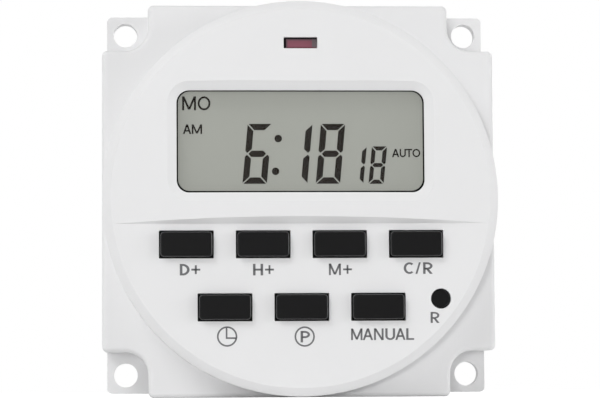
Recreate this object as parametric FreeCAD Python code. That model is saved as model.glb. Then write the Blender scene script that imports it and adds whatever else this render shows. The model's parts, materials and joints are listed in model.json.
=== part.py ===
import FreeCAD, Part
import math
import os

# Digital timer switch for a panel or wall box, in millimetres.
# X runs to the right of the front, Z runs up and Y runs into the wall. Y is 0 on the rear
# face of the corner ears, which seats on the panel, and the origin is the middle of the
# four screw holes.

V = FreeCAD.Vector

# Front square, its corner notches and the ears
front_side = 60.0            # side of the square front
corner_radius = 0.8          # outer corners of the front square
hole_pitch = 53.0            # square pitch of the four screw holes
hole_diameter = 3.7          # screw hole in each ear
screw_room = 3.5             # radius kept free round each screw hole
ear_setback = 0.65           # how far the ears stay inside the front square
ear_thickness = 2.5
skirt_depth = 9.0            # from the ears to the flat flange
cover_wall = 1.8
flange_edge_radius = 0.7

# Raised round face
face_diameter = 59.8
face_height = 6.0            # round face above the flange
face_edge_width = 1.25       # rounded slope that ends the face, seen from the front
face_edge_drop = 0.8
face_edge_bulge = 0.065
dome_height = 1.05           # crown of the upper part
dome_land = 0.2              # flat ring between the crown and the rounded edge
step_rise = 3.12             # foot of the step above the middle of the upper keys

# Display window and its sloped surround
window_width = 37.45
window_height = 15.5
window_z = 8.5
window_radius = 1.9
bezel_width = 1.35           # slope round the opening, measured along the crown
bezel_depth = 0.7
window_thickness = 1.0
window_overlap = 1.0         # clear window behind the edge of the opening

# Indicator slot
slot_width = 5.1
slot_height = 1.72
slot_radius = 0.12
slot_to_edge = 6.5           # middle of the slot from the edge of the round face
lens_sink = 0.3              # front of the lens behind the rim of the round face
lens_lip = 0.8
lens_lip_thickness = 0.8
lamp_diameter = 3.0

# Keys
key_width = 7.92
key_height = 3.9
key_pitch = 11.53
key_proud = 0.9
key_corner_radius = 0.12     # foot of the key and its opening
key_shoulder = 0.08          # the cap stands this far inside its foot
key_shoulder_sink = 0.1      # front of the foot behind the face
cap_corner_radius = 0.55
cap_edge_radius = 0.28
row_gap = 0.3                # upper key collars below the display holder
row_pitch = 9.45
key_lip = 0.6
key_lip_thickness = 0.8
key_travel = 0.3
stem_side = 2.6              # square stem behind each oblong key
collar_wall = 0.7
collar_depth = 1.7
reset_diameter = 2.75
reset_sink = 0.3
reset_edge_bevel = 0.18
reset_lip = 0.6
reset_angle = -36.1          # bearing of the reset button from the X axis

# Switches under the keys
switch_side = 6.0
switch_height = 3.5
switch_plate = 0.3
plunger_diameter = 3.4
plunger_standout = 0.8
plunger_foot = 4.2
plunger_foot_thickness = 0.6
reset_switch_side = 3.2
reset_plunger_diameter = 1.6
reset_plunger_foot = 2.2

# Display cell
polariser_thickness = 0.2
glass_thickness = 1.1
glass_overlap = 0.65         # front glass beyond the window opening
contact_ledge = 2.4          # strip of the front glass that the contacts touch
cell_gap = 0.3               # between window and cell
holder_wall = 0.9
holder_floor = 0.8
contact_width = 1.8

# Boards
board_thickness = 1.6
board_gap = 0.4              # board edge to the wall round it
board_seat = 6.2             # front face of the display board behind the inner face
board_screw_x = 12.0
board_screw_to_wall = 4.2    # screw centre from the top of the round inner wall
board_screw_to_edge = 3.9    # and from the edge of the board, whichever leaves it nearer
screw_diameter = 2.0
screw_head = 4.0
screw_head_height = 1.3
screw_length = 5.0
boss_diameter = 4.4

# Rear box
box_side = 50.0
box_radius = 8.0
box_depth = 15.0
box_wall = 2.0
box_edge_radius = 1.5
post_height = 2.0
post_inset = 4.4             # screw post centre from the inner wall

# Rim of the base inside the skirt, and its snap barbs
rim_wall = 1.5
rim_height = 4.5
barb_reach = 1.1
barb_length = 2.3
barb_width = 6.0
barb_z = 12.0

# Blade terminals
blade_width = 6.3
blade_thickness = 0.8
blade_standout = 8.0
blade_hole = 1.7
blade_hole_back = 3.6        # hole centre from the tip
blade_taper = 1.2
blade_leg = 1.2
blade_leg_standout = 0.8
blade_pitch = 7.5
blade_z = -15.6

# Parts on the power board
relay_width = 28.5
relay_height = 12.5
relay_depth = 15.5
relay_base = 2.0
relay_z = 11.0
case_bevel = 0.4             # bevelled edges of the moulded parts on the board
film_width = 18.0
film_height = 8.5
film_depth = 15.0
film_x = -11.0
film_z = -0.9
can_diameter = 8.0
can_depth = 12.0
can_groove = 0.4
can_x = 4.0
can_z = -1.2
varistor_diameter = 9.0
varistor_thickness = 4.2
varistor_x = 13.6
varistor_z = -1.0
fuse_width = 4.0
fuse_height = 8.4
fuse_depth = 7.6
fuse_x = -18.2
fuse_z = 9.5
diode_diameter = 2.7
diode_length = 4.2
diode_pitch = 3.6
diode_x = -19.0
diode_z = -8.7
resistor_diameter = 3.6
resistor_length = 9.0
resistor_z = -8.0
resistor_x = 5.2
zener_x = 12.2
transistor_diameter = 4.6
transistor_depth = 4.7
transistor_x = 17.4
transistor_z = -8.6
link_x = 18.6
link_z = 5.6
contact_count = 6
contact_spacing = 2.54
link_strip = 2.5
link_socket_depth = 8.5
contact_side = 0.64
lead_side = 0.6

# Parts on the display board
battery_diameter = 15.5
battery_thickness = 6.0
battery_x = -9.0
battery_z = -14.0
tab_thickness = 0.2
chip_side = 10.0
chip_thickness = 1.6
chip_x = 8.0
chip_z = -13.5
crystal_diameter = 2.1
crystal_length = 6.2
crystal_x = 15.5
crystal_z = -6.0

# Clearances
fit = 0.15                   # sliding fit of a key or a lens in its opening
loose = 0.3                  # open space between pieces that only pass
snug = 0.05                  # parts pushed into place

# Planes along Y, from the wall to the front
ear_front = -ear_thickness
flange_front = ear_front - skirt_depth
flange_back = flange_front + cover_wall
rim_plane = flange_front - face_height
inner_face = rim_plane + cover_wall
board_front = inner_face + board_seat
board_back = board_front + board_thickness
switch_front = board_front - switch_height
plunger_top = switch_front - plunger_standout
box_back = box_depth
box_floor = box_depth - box_wall
power_back = box_floor - post_height
power_front = power_back - board_thickness
window_front = inner_face - window_thickness
cell_front = inner_face + cell_gap
glass_front = cell_front + polariser_thickness
glass_middle = glass_front + glass_thickness
glass_back = glass_middle + glass_thickness
cell_back = glass_back + polariser_thickness

# Sizes that follow from the ones above
face_radius = face_diameter / 2
face_inner_radius = face_radius - cover_wall
notch_side = (front_side - hole_pitch) / 2 + screw_room
box_inner_side = box_side - 2 * box_wall
box_inner_radius = box_radius - box_wall
power_board_side = box_inner_side - 2 * board_gap
post_offset = box_inner_side / 2 - post_inset
glass_width = window_width + 2 * glass_overlap
glass_top = window_z + window_height / 2 + glass_overlap
glass_low = window_z - window_height / 2 - glass_overlap
ledge_low = glass_low - contact_ledge
holder_low = ledge_low - fit - holder_wall
collar_reach = key_height / 2 + key_lip + fit + collar_wall
upper_row_z = holder_low - row_gap - collar_reach
lower_row_z = upper_row_z - row_pitch
step_z = upper_row_z + step_rise
slot_z = face_radius - slot_to_edge
board_half = front_side / 2 - cover_wall - board_gap
board_screw_z = min(face_inner_radius - board_screw_to_wall, board_half - board_screw_to_edge)
reset_room = max(reset_switch_side, reset_diameter + 2 * reset_lip) / 2 + fit
reset_radius = face_inner_radius - reset_room
reset_x = reset_radius * math.cos(math.radians(reset_angle))
reset_z = reset_radius * math.sin(math.radians(reset_angle))

key_places = {
    "day": (-1.5 * key_pitch, upper_row_z),
    "hour": (-0.5 * key_pitch, upper_row_z),
    "minute": (0.5 * key_pitch, upper_row_z),
    "clear_recall": (1.5 * key_pitch, upper_row_z),
    "clock": (-key_pitch, lower_row_z),
    "program": (0.0, lower_row_z),
    "manual": (key_pitch, lower_row_z),
}


# General shapes

def outline(corners, y):
    """Face in the plane Y = y from (x, z, radius) corners, with an arc at each corner."""
    edges = []
    starts = []
    ends = []
    count = len(corners)
    for index in range(count):
        x, z, radius = corners[index]
        here = V(x, y, z)
        before = V(corners[index - 1][0], y, corners[index - 1][1])
        after = V(corners[(index + 1) % count][0], y, corners[(index + 1) % count][1])
        back = (before - here).normalize()
        ahead = (after - here).normalize()
        half = back.getAngle(ahead) / 2
        reach = radius / math.tan(half)
        middle = (back + ahead).normalize() * (radius / math.sin(half) - radius)
        starts.append(here + back * reach)
        ends.append(here + ahead * reach)
        edges.append(Part.Arc(starts[-1], here + middle, ends[-1]).toShape())
    lines = []
    for index in range(count):
        lines.append(edges[index])
        lines.append(Part.LineSegment(ends[index], starts[(index + 1) % count]).toShape())
    return Part.Face(Part.Wire(lines))


def rounded_rectangle(width, height, radius, x, z, y):
    corners = []
    for side_x, side_z in ((-1, -1), (1, -1), (1, 1), (-1, 1)):
        corners.append((x + side_x * width / 2, z + side_z * height / 2, radius))
    return outline(corners, y)


def front_outline(inset, y):
    """The notched front square, drawn in by an inset."""
    half = front_side / 2 - inset
    inner = front_side / 2 - notch_side - inset
    outer_radius = max(corner_radius - inset, corner_radius / 2)
    inner_radius = screw_room + inset
    corners = []
    for turn in range(4):
        angle = math.radians(90 * turn)
        quarter = (
            (half, -inner, outer_radius),
            (half, inner, outer_radius),
            (inner, inner, inner_radius),
        )
        for across, up, radius in quarter:
            x = across * math.cos(angle) - up * math.sin(angle)
            z = across * math.sin(angle) + up * math.cos(angle)
            corners.append((x, z, radius))
    return outline(corners, y)


def prism(face, depth):
    return face.extrude(V(0, depth, 0))


def slab(width, height, radius, x, z, y_front, y_back):
    return prism(rounded_rectangle(width, height, radius, x, z, y_front), y_back - y_front)


def block(width, height, x, z, y_front, y_back):
    corner = V(x - width / 2, y_front, z - height / 2)
    return Part.makeBox(width, y_back - y_front, height, corner)


def post(diameter, x, z, y_front, y_back):
    return Part.makeCylinder(diameter / 2, y_back - y_front, V(x, y_front, z), V(0, 1, 0))


def turned(profile):
    """Solid turned about the Y axis from a closed wire in the plane Z = 0."""
    return Part.Face(profile).revolve(V(0, 0, 0), V(0, 1, 0), 360)


def edges_at(shape, y, tolerance=1e-4):
    found = []
    for edge in shape.Edges:
        if abs(edge.BoundBox.YMin - y) < tolerance and abs(edge.BoundBox.YMax - y) < tolerance:
            found.append(edge)
    return found


def rim_edges(cylinder):
    return [edge for edge in cylinder.Edges if len(edge.Vertexes) == 1]


def joined(first, others):
    return first.fuse(others).removeSplitter() if others else first


def four_corners(x, z):
    return [(-x, -z), (x, -z), (x, z), (-x, z)]


# Front cover

def face_boss():
    """Round face with a sloped edge and a crowned top, still without its step."""
    edge_start = face_radius - face_edge_width
    crown_radius = edge_start - dome_land
    crown_top = rim_plane - dome_height
    sphere = (crown_radius ** 2 + dome_height ** 2) / (2 * dome_height)
    half_reach = crown_radius / 2
    crown_drop = sphere - math.sqrt(sphere ** 2 - half_reach ** 2)
    edge_length = math.hypot(face_edge_width, face_edge_drop)
    bulge_out = face_edge_bulge * face_edge_drop / edge_length
    bulge_forward = face_edge_bulge * face_edge_width / edge_length
    foot = flange_front + flange_edge_radius
    top = V(0, crown_top, 0)
    crown_middle = V(half_reach, crown_top + crown_drop, 0)
    crown_end = V(crown_radius, rim_plane, 0)
    land_end = V(edge_start, rim_plane, 0)
    edge_middle = V(face_radius - face_edge_width / 2 + bulge_out,
                    rim_plane + face_edge_drop / 2 - bulge_forward, 0)
    edge_end = V(face_radius, rim_plane + face_edge_drop, 0)
    wall_end = V(face_radius, foot, 0)
    centre_foot = V(0, foot, 0)
    return turned(Part.Wire([
        Part.Arc(top, crown_middle, crown_end).toShape(),
        Part.LineSegment(crown_end, land_end).toShape(),
        Part.Arc(land_end, edge_middle, edge_end).toShape(),
        Part.LineSegment(edge_end, wall_end).toShape(),
        Part.LineSegment(wall_end, centre_foot).toShape(),
        Part.LineSegment(centre_foot, top).toShape(),
    ]))


def step_cut():
    """Everything in front of the flat lower face, up to a 45 degree ramp at the step."""
    high = 2 * dome_height
    corners = [
        V(-front_side, rim_plane, step_z),
        V(-front_side, rim_plane - high, step_z + high),
        V(-front_side, rim_plane - high, -front_side),
        V(-front_side, rim_plane, -front_side),
    ]
    return Part.Face(Part.makePolygon(corners + corners[:1])).extrude(V(2 * front_side, 0, 0))


def opening_edges(shape, width, height, x, z):
    """Edges of the crown that go round an opening."""
    found = []
    for edge in shape.Edges:
        box = edge.BoundBox
        beside = max(abs(box.XMin - x), abs(box.XMax - x)) - width / 2
        above = max(abs(box.ZMin - z), abs(box.ZMax - z)) - height / 2
        if box.YMax < rim_plane and max(beside, above) < snug:
            found.append(edge)
    return found


def sloped_window(boss):
    """The round face with the window's opening, whose edge slopes at one width all round."""
    opening = slab(window_width, window_height, window_radius, 0, window_z,
                   rim_plane - 2 * dome_height, flange_front)
    boss = boss.cut(opening)
    return boss.makeChamfer(bezel_width, bezel_depth,
                            opening_edges(boss, window_width, window_height, 0, window_z))


def window_seat():
    return slab(window_width + 2 * window_overlap + 2 * snug,
                window_height + 2 * window_overlap + 2 * snug,
                window_radius, 0, window_z, window_front, inner_face)


def key_opening(x, z):
    return slab(
        key_width + 2 * fit, key_height + 2 * fit, key_corner_radius, x, z,
        rim_plane - dome_height, inner_face)


def key_collar(x, z):
    """Wall behind the face that guides the lip of one key."""
    width = key_width + 2 * key_lip + 2 * fit
    height = key_height + 2 * key_lip + 2 * fit
    back = inner_face + collar_depth
    outer = block(width + 2 * collar_wall, height + 2 * collar_wall, x, z, inner_face, back)
    return outer.cut(block(width, height, x, z, inner_face, back))


def reset_collar():
    inner = reset_diameter + 2 * reset_lip + 2 * fit
    back = inner_face + collar_depth
    outer = post(inner + 2 * collar_wall, reset_x, reset_z, inner_face, back)
    return outer.cut(post(inner, reset_x, reset_z, inner_face, back))


def snap_window(side, z):
    """Opening through the skirt that takes one barb of the base."""
    length = barb_length + 2 * fit
    width = barb_width + 2 * loose
    x = side * (front_side - cover_wall) / 2
    front = ear_front - rim_height + fit
    return Part.makeBox(2 * cover_wall, length, width, V(x - cover_wall, front, z - width / 2))


def front_cover():
    skirt = prism(front_outline(0, flange_front), skirt_depth)
    skirt = skirt.makeFillet(flange_edge_radius, edges_at(skirt, flange_front))
    shell = skirt.fuse(sloped_window(face_boss().cut(step_cut())))
    hollow = [
        prism(front_outline(cover_wall, flange_back), ear_front - flange_back),
        post(2 * face_inner_radius, 0, 0, inner_face, flange_back + cover_wall),
    ]
    shell = shell.cut(hollow)
    cuts = [window_seat()]
    cuts.append(slab(slot_width, slot_height, slot_radius, 0, slot_z,
                     rim_plane - dome_height, inner_face))
    for x, z in key_places.values():
        cuts.append(key_opening(x, z))
    cuts.append(post(reset_diameter + 2 * fit, reset_x, reset_z, rim_plane, inner_face))
    for side in (-1, 1):
        for z in (-barb_z, barb_z):
            cuts.append(snap_window(side, z))
    shell = shell.cut(cuts)
    inside = [key_collar(x, z) for x, z in key_places.values()]
    inside.append(reset_collar().common(post(2 * face_inner_radius + cover_wall, 0, 0,
                                             inner_face, board_front)))
    for x, z in four_corners(board_screw_x, board_screw_z):
        inside.append(post(boss_diameter, x, z, inner_face, board_front))
    shell = shell.fuse(inside)
    pilots = [display_room()]
    for x, z in four_corners(board_screw_x, board_screw_z):
        pilots.append(post(screw_diameter + 2 * snug, x, z,
                           board_back - screw_length - loose, board_front))
    return shell.cut(pilots).removeSplitter()


# Base housing

def snap_barb(side, z):
    """Wedge on the rim: its ramp faces the front and its flat back holds the cover."""
    x = side * (front_side / 2 - cover_wall - fit)
    back = ear_front - rim_height + 2 * fit + barb_length
    corners = [
        V(x - side * rim_wall / 2, back - barb_length, z - barb_width / 2),
        V(x, back - barb_length, z - barb_width / 2),
        V(x + side * barb_reach, back - barb_length / 3, z - barb_width / 2),
        V(x + side * barb_reach, back, z - barb_width / 2),
        V(x - side * rim_wall / 2, back, z - barb_width / 2),
    ]
    return Part.Face(Part.makePolygon(corners + corners[:1])).extrude(V(0, 0, barb_width))


def blade_places():
    return [(index - 2) * blade_pitch for index in range(5)]


def base_housing():
    plate = slab(front_side - 2 * ear_setback, front_side - 2 * ear_setback, corner_radius, 0, 0,
                 ear_front, 0)
    box = slab(box_side, box_side, box_radius, 0, 0, 0, box_back)
    box = box.makeFillet(box_edge_radius, edges_at(box, box_back))
    rim_inset = cover_wall + fit
    rim = prism(front_outline(rim_inset, ear_front - rim_height), rim_height)
    solid = plate.fuse([box, rim])
    cuts = [
        prism(front_outline(rim_inset + rim_wall, ear_front - rim_height), rim_height),
        slab(box_inner_side, box_inner_side, box_inner_radius, 0, 0, ear_front, box_floor),
    ]
    for x, z in four_corners(hole_pitch / 2, hole_pitch / 2):
        cuts.append(post(hole_diameter, x, z, ear_front, 0))
    for x in blade_places():
        cuts.append(block(blade_thickness + 2 * fit, blade_width + 2 * fit, x, blade_z,
                          box_floor, box_back))
    solid = solid.cut(cuts)
    added = [post(boss_diameter, x, z, power_back, box_floor)
             for x, z in four_corners(post_offset, post_offset)]
    for side in (-1, 1):
        for z in (-barb_z, barb_z):
            added.append(snap_barb(side, z))
    solid = solid.fuse(added)
    pilots = []
    for x, z in four_corners(post_offset, post_offset):
        pilots.append(post(screw_diameter + 2 * snug, x, z,
                           power_back, power_front + screw_length + loose))
    return solid.cut(pilots).removeSplitter()


# Window, lens and display cell

def display_window():
    return slab(window_width + 2 * window_overlap, window_height + 2 * window_overlap,
                window_radius, 0, window_z, window_front, inner_face)


def indicator_lens():
    front = rim_plane + lens_sink
    bar = slab(slot_width - 2 * snug, slot_height - 2 * snug, slot_radius, 0, slot_z,
               front, inner_face)
    lip = block(slot_width + 2 * lens_lip, slot_height + 2 * lens_lip, 0, slot_z,
                inner_face, inner_face + lens_lip_thickness)
    return joined(bar, [lip])


def cell_layer(low, y_front, y_back):
    height = glass_top - low
    return block(glass_width, height, 0, low + height / 2, y_front, y_back)


def display_room():
    """Space that the cover keeps free round the display holder."""
    tray = display_holder().BoundBox
    return block(tray.XLength + 2 * fit, tray.ZLength + 2 * fit, tray.Center.x, tray.Center.z,
                 inner_face, board_front)


def display_holder():
    """Tray round the cell: its walls stand on the board and its floor carries the cell."""
    room = cell_layer(ledge_low, cell_front - loose, cell_back).BoundBox
    width = room.XLength + 2 * fit
    height = room.ZLength + 2 * fit
    z = room.Center.z
    front = cell_front - fit
    tray = slab(width + 2 * holder_wall, height + 2 * holder_wall, holder_wall, 0, z,
                front, board_front)
    floor_back = cell_back + holder_floor
    cuts = [
        block(width, height, 0, z, front, cell_back),
        block(width, height, 0, z, floor_back, board_front),
        block(glass_width, contact_width + 2 * snug, 0, contact_z(), cell_back, floor_back),
    ]
    return tray.cut(cuts)


def contact_z():
    return ledge_low + contact_ledge / 2 - fit


def contact_strip():
    """Striped rubber that joins the glass ledge to the board."""
    return block(glass_width - 2 * fit, contact_width, 0, contact_z(), glass_middle, board_front)


# Keys, plungers and switches

def key_cap(x, z):
    """Cap with a softened edge on a sharp foot, which fills the opening in the face."""
    front = rim_plane - key_proud
    foot_front = rim_plane + key_shoulder_sink
    cap = slab(key_width - 2 * key_shoulder, key_height - 2 * key_shoulder, cap_corner_radius,
               x, z, front, inner_face)
    cap = cap.makeFillet(cap_edge_radius, edges_at(cap, front))
    foot = slab(key_width, key_height, key_corner_radius, x, z, foot_front, inner_face)
    lip_back = inner_face + key_lip_thickness
    lip = block(key_width + 2 * key_lip, key_height + 2 * key_lip, x, z, inner_face, lip_back)
    stem = block(stem_side, stem_side, x, z, lip_back, plunger_top)
    return joined(cap, [foot, lip, stem])


def reset_cap():
    front = rim_plane + reset_sink
    cap = post(reset_diameter, reset_x, reset_z, front, inner_face)
    cap = cap.makeChamfer(reset_edge_bevel, edges_at(cap, front))
    lip_back = inner_face + key_lip_thickness
    lip = post(reset_diameter + 2 * reset_lip, reset_x, reset_z, inner_face, lip_back)
    stem = post(reset_plunger_diameter, reset_x, reset_z, lip_back, plunger_top)
    return joined(cap, [lip, stem])


def plunger(x, z, diameter, foot):
    """Button of one switch, held in by its wider square foot."""
    foot_front = switch_front + switch_plate
    rod = post(diameter, x, z, plunger_top, foot_front)
    base = block(foot, foot, x, z, foot_front, foot_front + plunger_foot_thickness)
    return joined(rod, [base])


def switch_body(x, z, side, foot):
    """Body below its cover plate, with room for the plunger foot and its travel."""
    front = switch_front + switch_plate
    body = block(side, side, x, z, front, board_front)
    well = front + plunger_foot_thickness + key_travel + fit
    return body.cut(block(foot + 2 * fit, foot + 2 * fit, x, z, front, well))


def switch_cover(x, z, side, diameter):
    plate = block(side, side, x, z, switch_front, switch_front + switch_plate)
    return plate.cut(post(diameter + 2 * fit, x, z, switch_front, switch_front + switch_plate))


def turned_to_reset(shape):
    """The reset switch stands square to the round wall beside it."""
    return shape.rotate(V(reset_x, 0, reset_z), V(0, 1, 0), -reset_angle)


# Boards and what stands on them

def screw(x, z, y_head, direction):
    head = Part.makeCylinder(screw_head / 2, screw_head_height, V(x, y_head, z),
                             V(0, -direction, 0))
    shank = Part.makeCylinder(screw_diameter / 2, screw_length, V(x, y_head, z),
                              V(0, direction, 0))
    return joined(head, [shank])


def display_board():
    board = prism(front_outline(cover_wall + board_gap, board_front), board_thickness)
    holes = [post(screw_diameter + 2 * fit, x, z, board_front, board_back)
             for x, z in four_corners(board_screw_x, board_screw_z)]
    return board.cut(holes)


def power_board():
    board = slab(power_board_side, power_board_side, box_inner_radius - board_gap, 0, 0,
                 power_front, power_back)
    holes = [post(screw_diameter + 2 * fit, x, z, power_front, power_back)
             for x, z in four_corners(post_offset, post_offset)]
    for x in blade_places():
        for z in blade_leg_places():
            holes.append(block(blade_thickness + 2 * snug, blade_leg + 2 * snug, x, z,
                               power_front, power_back))
    return board.cut(holes)


def blade_leg_places():
    reach = (blade_width - blade_leg) / 2
    return (blade_z - reach, blade_z + reach)


def blade_terminal(x):
    """Flat blade with a tapered tip, a locking hole and two legs through the board."""
    tip = box_back + blade_standout
    half = blade_width / 2
    corners = [
        V(x, power_back, blade_z - half),
        V(x, tip - blade_taper, blade_z - half),
        V(x, tip, blade_z - half + blade_taper),
        V(x, tip, blade_z + half - blade_taper),
        V(x, tip - blade_taper, blade_z + half),
        V(x, power_back, blade_z + half),
    ]
    blade = Part.Face(Part.makePolygon(corners + corners[:1])).extrude(V(blade_thickness, 0, 0))
    blade.translate(V(-blade_thickness / 2, 0, 0))
    hole = Part.makeCylinder(blade_hole / 2, 2 * blade_thickness,
                             V(x - blade_thickness, tip - blade_hole_back, blade_z), V(1, 0, 0))
    legs = [block(blade_thickness, blade_leg, x, z, power_front - blade_leg_standout, power_back)
            for z in blade_leg_places()]
    return joined(blade.cut(hole), legs)


def relay_seat():
    return block(relay_width, relay_height, 0, relay_z, power_front - relay_base, power_front)


def relay_cover():
    front = power_front - relay_depth
    cover = block(relay_width, relay_height, 0, relay_z, front, power_front - relay_base)
    return cover.makeChamfer(case_bevel, edges_at(cover, front))


def film_capacitor():
    front = power_front - film_depth
    body = block(film_width, film_height, film_x, film_z, front, power_front)
    return body.makeChamfer(case_bevel, edges_at(body, front))


def electrolytic_capacitor():
    """Can with the rolled groove near its foot."""
    front = power_front - can_depth
    can = post(can_diameter, can_x, can_z, front, power_front)
    can = can.makeChamfer(can_diameter / 16, edges_at(can, front))
    groove_middle = power_front - can_depth / 8
    ring = post(can_diameter, can_x, can_z, groove_middle - can_groove, groove_middle + can_groove)
    core = post(can_diameter - 2 * can_groove, can_x, can_z,
                groove_middle - can_groove, groove_middle + can_groove)
    return can.cut(ring.cut(core))


def lying_body(diameter, length, x, z, along):
    """Small part lying on the power board, with a wire bent down to it at each end."""
    middle = power_front - diameter / 2
    reach = length + 3 * lead_side
    direction = V(1, 0, 0) if along == "x" else V(0, 0, 1)
    start = V(x, middle, z) - direction * (length / 2)
    body = Part.makeCylinder(diameter / 2, length, start, direction)
    wide, high = (reach, lead_side) if along == "x" else (lead_side, reach)
    wire = block(wide, high, x, z, middle - lead_side / 2, middle + lead_side / 2)
    feet = []
    for side in (-1, 1):
        foot = V(x, middle, z) + direction * (side * (reach - lead_side) / 2)
        feet.append(block(lead_side, lead_side, foot.x, foot.z, middle, power_front))
    return joined(body, [wire] + feet)


def rectifier_diodes():
    return [lying_body(diode_diameter, diode_length, diode_x + index * diode_pitch, diode_z, "z")
            for index in range(4)]


def varistor():
    body = Part.makeCylinder(varistor_diameter / 2, varistor_thickness,
                             V(varistor_x - varistor_thickness / 2,
                               power_front - varistor_diameter / 2, varistor_z), V(1, 0, 0))
    return body.makeChamfer(varistor_thickness / 4, rim_edges(body))


def fuse():
    front = power_front - fuse_depth
    body = block(fuse_width, fuse_height, fuse_x, fuse_z, front, power_front)
    return body.makeChamfer(case_bevel, edges_at(body, front))


def transistor():
    """Small plastic body with one flat side."""
    body = post(transistor_diameter, transistor_x, transistor_z,
                power_front - transistor_depth, power_front)
    flat = block(transistor_diameter, transistor_diameter, transistor_x,
                 transistor_z + transistor_diameter * 0.78,
                 power_front - transistor_depth, power_front)
    return body.cut(flat)


def link_places():
    first = link_z - (contact_count - 1) / 2 * contact_spacing
    return [first + index * contact_spacing for index in range(contact_count)]


def link_header():
    strip = block(link_strip, contact_count * contact_spacing, link_x, link_z,
                  power_front - link_strip, power_front)
    holes = [block(contact_side + 2 * snug, contact_side + 2 * snug, link_x, z,
                   power_front - link_strip, power_front) for z in link_places()]
    return strip.cut(holes)


def link_socket():
    strip = block(link_strip, contact_count * contact_spacing, link_x, link_z,
                  board_back, board_back + link_socket_depth)
    holes = [block(contact_side + 2 * snug, contact_side + 2 * snug, link_x, z,
                   board_back + link_strip, board_back + link_socket_depth)
             for z in link_places()]
    return strip.cut(holes)


def link_contacts():
    front = board_back + link_strip + loose
    return [block(contact_side, contact_side, link_x, z, front, power_front)
            for z in link_places()]


def battery():
    cell = post(battery_diameter, battery_x, battery_z,
                board_back + tab_thickness, board_back + tab_thickness + battery_thickness)
    return cell.makeChamfer(battery_thickness / 8, rim_edges(cell))


def battery_tabs():
    """Lower tab under the cell, upper tab over it and down to the board."""
    top = board_back + tab_thickness + battery_thickness
    width = battery_diameter / 4
    reach = battery_diameter / 2 + fit
    lower = block(battery_diameter * 0.8, width, battery_x, battery_z,
                  board_back, board_back + tab_thickness)
    strap = Part.makeBox(reach + tab_thickness, tab_thickness, width,
                         V(battery_x - reach - tab_thickness, top, battery_z - width / 2))
    leg = Part.makeBox(tab_thickness, top - board_back, width,
                       V(battery_x - reach - tab_thickness, board_back, battery_z - width / 2))
    return [lower, joined(strap, [leg])]


def controller_chip():
    """Square package with its rows of bent legs drawn as one stepped plinth each side."""
    body = block(chip_side, chip_side, chip_x, chip_z,
                 board_back + tab_thickness, board_back + chip_thickness)
    foot = block(chip_side * 1.2, chip_side * 0.8, chip_x, chip_z,
                 board_back, board_back + tab_thickness)
    side_foot = block(chip_side * 0.8, chip_side * 1.2, chip_x, chip_z,
                      board_back, board_back + tab_thickness)
    return joined(body, [foot, side_foot])


def quartz_crystal():
    radius = crystal_diameter / 2
    start = V(crystal_x, board_back + radius, crystal_z - crystal_length / 2)
    return Part.makeCylinder(radius, crystal_length, start, V(0, 0, 1))


def indicator_lamp():
    """Round lamp with a domed top and a collar on the board."""
    top = inner_face + lens_lip_thickness + loose
    radius = lamp_diameter / 2
    body = post(lamp_diameter, 0, slot_z, top + radius, board_front)
    dome = Part.makeSphere(radius, V(0, top + radius, slot_z))
    collar = post(lamp_diameter + holder_wall, 0, slot_z, board_front - holder_wall, board_front)
    return joined(body, [dome, collar])


# The pieces by name

def key_pieces(pieces):
    for name, (x, z) in key_places.items():
        pieces[name + "_key"] = key_cap(x, z)
        pieces[name + "_plunger"] = plunger(x, z, plunger_diameter, plunger_foot)
    pieces["reset_key"] = reset_cap()
    pieces["reset_plunger"] = turned_to_reset(plunger(reset_x, reset_z, reset_plunger_diameter,
                                                      reset_plunger_foot))
    bodies = [switch_body(x, z, switch_side, plunger_foot) for x, z in key_places.values()]
    plates = [switch_cover(x, z, switch_side, plunger_diameter) for x, z in key_places.values()]
    bodies.append(turned_to_reset(switch_body(reset_x, reset_z, reset_switch_side,
                                              reset_plunger_foot)))
    plates.append(turned_to_reset(switch_cover(reset_x, reset_z, reset_switch_side,
                                               reset_plunger_diameter)))
    pieces["switch_bodies"] = bodies
    pieces["switch_covers"] = plates


def display_pieces(pieces):
    pieces["display_window"] = display_window()
    pieces["indicator_lens"] = indicator_lens()
    pieces["indicator_lamp"] = indicator_lamp()
    pieces["display_polariser"] = cell_layer(glass_low, cell_front, glass_front)
    pieces["display_front_glass"] = cell_layer(ledge_low, glass_front, glass_middle)
    pieces["display_rear_glass"] = cell_layer(glass_low, glass_middle, glass_back)
    pieces["display_reflector"] = cell_layer(glass_low, glass_back, cell_back)
    pieces["display_holder"] = display_holder()
    pieces["contact_strip"] = contact_strip()
    pieces["display_board"] = display_board()
    pieces["controller_chip"] = controller_chip()
    pieces["quartz_crystal"] = quartz_crystal()
    pieces["backup_battery"] = battery()
    pieces["battery_tabs"] = battery_tabs()
    pieces["link_socket"] = link_socket()
    pieces["display_board_screws"] = [screw(x, z, board_back, -1)
                                      for x, z in four_corners(board_screw_x, board_screw_z)]


def power_pieces(pieces):
    pieces["power_board"] = power_board()
    pieces["relay_base"] = relay_seat()
    pieces["relay_cover"] = relay_cover()
    pieces["film_capacitor"] = film_capacitor()
    pieces["electrolytic_capacitor"] = electrolytic_capacitor()
    pieces["rectifier_diodes"] = rectifier_diodes()
    pieces["zener_diode"] = lying_body(diode_diameter, diode_length, zener_x, diode_z, "z")
    pieces["dropper_resistor"] = lying_body(resistor_diameter, resistor_length, resistor_x,
                                            resistor_z, "x")
    pieces["varistor"] = varistor()
    pieces["fuse"] = fuse()
    pieces["relay_transistor"] = transistor()
    pieces["link_header"] = link_header()
    pieces["link_pins"] = link_contacts()
    pieces["power_board_screws"] = [screw(x, z, power_front, 1)
                                    for x, z in four_corners(post_offset, post_offset)]
    names = ("line", "neutral", "common", "normally_open", "normally_closed")
    for name, x in zip(names, blade_places()):
        pieces[name + "_blade"] = blade_terminal(x)


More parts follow.
